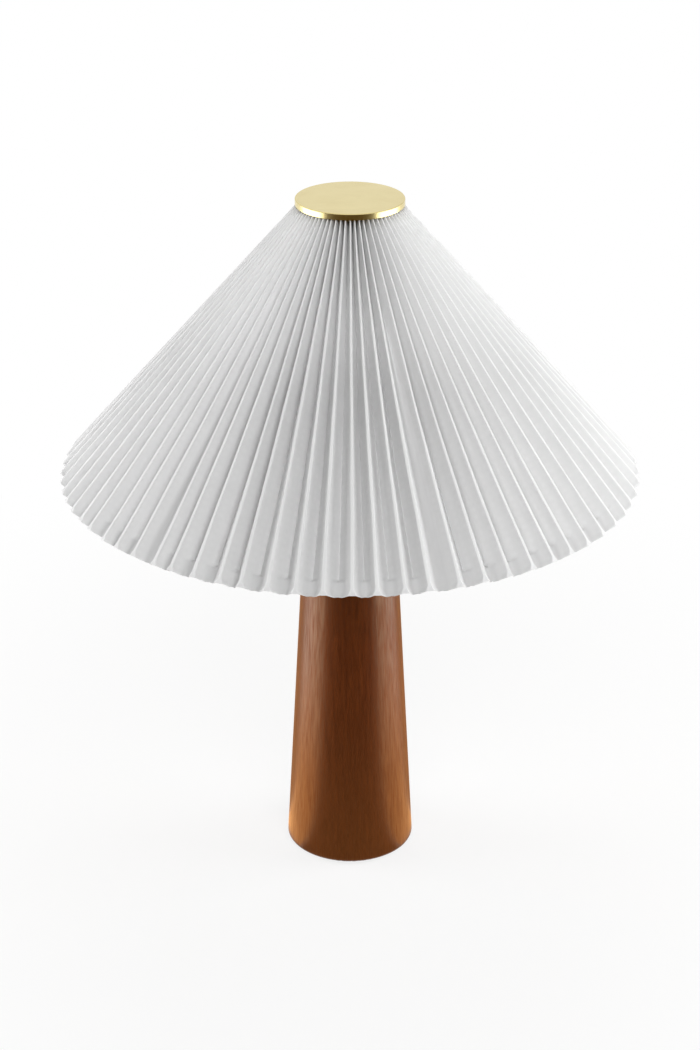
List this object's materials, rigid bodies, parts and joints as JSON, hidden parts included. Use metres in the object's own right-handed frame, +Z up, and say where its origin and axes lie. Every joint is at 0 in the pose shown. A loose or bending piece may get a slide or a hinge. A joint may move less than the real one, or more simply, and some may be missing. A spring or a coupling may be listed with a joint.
{
  "type": "table lamp",
  "caption": "Table lamp with a slender tapered wooden base and a wide cone shade of accordion pleats under a flat round brass cap.",
  "frame": {"origin": "centre of the foot on the table, on the lamp's axis", "axes": "+Z up along the lamp's axis, -Y to the front, where the switch is, and +Y to the back, where the cord leaves"},
  "size_m": [0.4062, 0.4062, 0.496],
  "materials": {
    "walnut": "satin walnut stain, fine straight grain",
    "brass": "satin, pale",
    "shade_cloth": "matt white laminate, crisp pleats",
    "white_steel": "white coated wire",
    "felt": "dark felt",
    "black_steel": "black coating",
    "zinc_steel": "zinc plated",
    "cast_iron": "as cast",
    "brown_plastic": "moulded, satin",
    "phenolic": "moulded, satin black",
    "card": "plain fibre card",
    "bulb_metal": "bright rolled sheet",
    "bulb_glass": "glossy black insulator",
    "bulb_plastic": "frosted white"
  },
  "bodies": {
    "base": {"foot_pad": "felt", "base_cover": "black_steel", "cover_screws": "zinc_steel", "base_weight": "cast_iron", "wooden_body": "walnut", "cord_bushing": "brown_plastic", "lamp_rod": "zinc_steel", "rod_washer": "zinc_steel", "rod_nut": "zinc_steel", "neck_cap": "brass", "saddle_nut": "brass", "harp_saddle": "brass", "socket_cap": "brass", "socket_shell": "brass", "socket_liner": "card", "socket_body": "phenolic", "terminal_screws": "zinc_steel", "socket_thread_shell": "bulb_metal", "socket_contact": "brass"},
    "switch": {"switch_shaft": "brass", "switch_knob": "phenolic"},
    "bulb": {"bulb_contact": "bulb_metal", "bulb_insulator": "bulb_glass", "bulb_screw_base": "bulb_metal", "bulb_housing": "bulb_plastic", "bulb_dome": "bulb_plastic"},
    "harp": {"harp": "brass"},
    "ferrule_left": {"harp_ferrule_left": "brass"},
    "ferrule_right": {"harp_ferrule_right": "brass"},
    "stud": {"finial_stud": "brass"},
    "shade": {"pleated_shade": "shade_cloth", "shade_top_ring": "white_steel", "shade_bottom_ring": "white_steel", "shade_struts": "white_steel", "shade_spider": "white_steel"},
    "cap": {"brass_cap": "brass", "cap_boss": "brass"}
  },
  "joints": [
    {"name": "harp_lift", "type": "slide", "parent": "base", "child": "harp", "axis": [0, 0, 1], "range_m": [0, 0.012]},
    {"name": "ferrule_left_slide", "type": "slide", "parent": "harp", "child": "ferrule_left", "axis": [0, 0, 1], "range_m": [0, 0.012]},
    {"name": "ferrule_right_slide", "type": "slide", "parent": "harp", "child": "ferrule_right", "axis": [0, 0, 1], "range_m": [0, 0.012]},
    {"name": "stud_swivel", "type": "hinge", "parent": "harp", "child": "stud", "pos_m": [0, 0, 0.482], "axis": [0, 0, 1], "continuous": true},
    {"name": "shade_lift", "type": "slide", "parent": "stud", "child": "shade", "axis": [0, 0, 1], "range_m": [0, 0.21]},
    {"name": "cap_turn", "type": "hinge", "parent": "shade", "child": "cap", "pos_m": [0, 0, 0.49], "axis": [0, 0, 1], "continuous": true},
    {"name": "switch_turn", "type": "hinge", "parent": "base", "child": "switch", "pos_m": [0, -0.02, 0.3506], "axis": [0, -1, 0], "continuous": true},
    {"name": "bulb_turn", "type": "hinge", "parent": "base", "child": "bulb", "pos_m": [0, 0, 0.37], "axis": [0, 0, 1], "range_deg": [0, 1080]}
  ]
}
